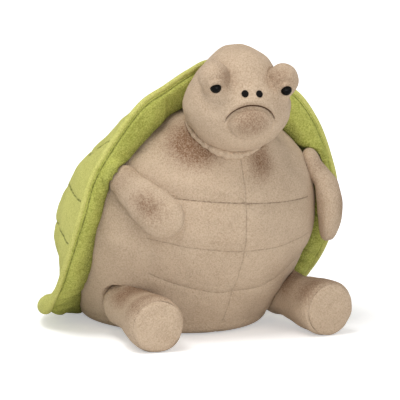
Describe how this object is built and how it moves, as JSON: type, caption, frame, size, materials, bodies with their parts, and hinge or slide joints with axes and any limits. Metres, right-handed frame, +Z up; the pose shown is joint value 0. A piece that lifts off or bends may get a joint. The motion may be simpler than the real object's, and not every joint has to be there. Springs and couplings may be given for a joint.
{
  "type": "plush turtle",
  "caption": "Seated stuffed toy turtle with a round belly, a padded domed shell, turning head, and arms and legs on fabric joints",
  "frame": {"origin": "middle of the bounding box in plan, on the floor that the toy sits on", "axes": "+Z up; the turtle faces -Y; +X is the turtle's left side"},
  "size_m": [0.296, 0.3178, 0.296],
  "materials": {
    "beige_plush": "matte",
    "green_plush": "matte",
    "green_underside": "matte",
    "stuffing": "matte",
    "pouch_cloth": "matte",
    "black_thread": "satin",
    "brown_thread": "matte",
    "eye_plastic": "gloss",
    "washer_plastic": "matte"
  },
  "bodies": {
    "body": {"belly_panel_left": "beige_plush", "belly_panel_right": "beige_plush", "back_panel": "beige_plush", "base_panel": "beige_plush", "body_stuffing": "stuffing", "pellet_pouch": "pouch_cloth", "shell_cover": "green_plush", "shell_underside": "green_underside", "shell_padding": "stuffing"},
    "neck": {"neck_collar": "beige_plush"},
    "head": {"head_cover": "beige_plush", "head_stuffing": "stuffing", "chin_pad": "beige_plush", "mouth_thread": "brown_thread", "brow_left": "beige_plush", "brow_right": "beige_plush", "eye_left": "eye_plastic", "eye_right": "eye_plastic", "eye_washer_left": "washer_plastic", "eye_washer_right": "washer_plastic", "nostril_left": "black_thread", "nostril_right": "black_thread"},
    "arm_left": {"arm_left_cover": "beige_plush", "arm_left_stuffing": "stuffing"},
    "arm_right": {"arm_right_cover": "beige_plush", "arm_right_stuffing": "stuffing"},
    "leg_left": {"leg_left_cover": "beige_plush", "leg_left_sole": "beige_plush", "leg_left_stuffing": "stuffing"},
    "leg_right": {"leg_right_cover": "beige_plush", "leg_right_sole": "beige_plush", "leg_right_stuffing": "stuffing"}
  },
  "joints": [
    {"name": "head_turn", "type": "hinge", "parent": "body", "child": "neck", "pos_m": [0, -0.10131, 0.236], "axis": [0, 0, 1], "range_deg": [-25, 25], "stiffness_Nm_per_rad": 0.35},
    {"name": "head_nod", "type": "hinge", "parent": "neck", "child": "head", "pos_m": [0, -0.10131, 0.236], "axis": [0.9845, -0.1736, -0.0258], "range_deg": [-10, 12], "stiffness_Nm_per_rad": 0.9},
    {"name": "arm_left_swing", "type": "hinge", "parent": "body", "child": "arm_left", "pos_m": [0.10591, -0.06362, 0.163], "axis": [-0.7885, 0.5318, -0.309], "range_deg": [0, 50], "stiffness_Nm_per_rad": 0.12},
    {"name": "arm_right_swing", "type": "hinge", "parent": "body", "child": "arm_right", "pos_m": [-0.10591, -0.06362, 0.163], "axis": [-0.7885, -0.5318, 0.309], "range_deg": [-10, 40], "stiffness_Nm_per_rad": 0.12},
    {"name": "leg_left_splay", "type": "hinge", "parent": "body", "child": "leg_left", "pos_m": [0.08438, -0.02702, 0.032], "axis": [0, 0, 1], "range_deg": [0, 15], "stiffness_Nm_per_rad": 0.4},
    {"name": "leg_right_splay", "type": "hinge", "parent": "body", "child": "leg_right", "pos_m": [-0.08438, -0.02702, 0.032], "axis": [0, 0, -1], "range_deg": [0, 15], "stiffness_Nm_per_rad": 0.4}
  ]
}
